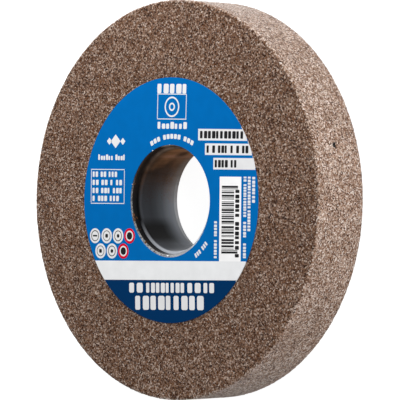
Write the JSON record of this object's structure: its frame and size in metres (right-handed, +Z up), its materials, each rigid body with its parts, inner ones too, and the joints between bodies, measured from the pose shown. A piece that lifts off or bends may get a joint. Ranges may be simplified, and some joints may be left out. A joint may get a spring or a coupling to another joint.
{
  "type": "bench grinding wheel",
  "caption": "Straight bonded abrasive wheel with a plastic-lined bore and a thin paper disc on each face, for a bench grinder.",
  "frame": {"origin": "on the bore axis, at the surface that the wheel lies on", "axes": "+Z up along the bore axis, out of the printed side; +Y towards the top of the print; +X to its right"},
  "size_m": [0.125, 0.125, 0.0205],
  "materials": {
    "bonded_abrasive": "coarse open grain, dull",
    "grey_plastic": "satin",
    "printed_paper": "smooth print",
    "plain_paper": "matt"
  },
  "bodies": {
    "root": {"abrasive_wheel": "bonded_abrasive", "bore_bush": "grey_plastic", "front_blotter": "printed_paper", "back_blotter": "plain_paper"}
  },
  "joints": []
}
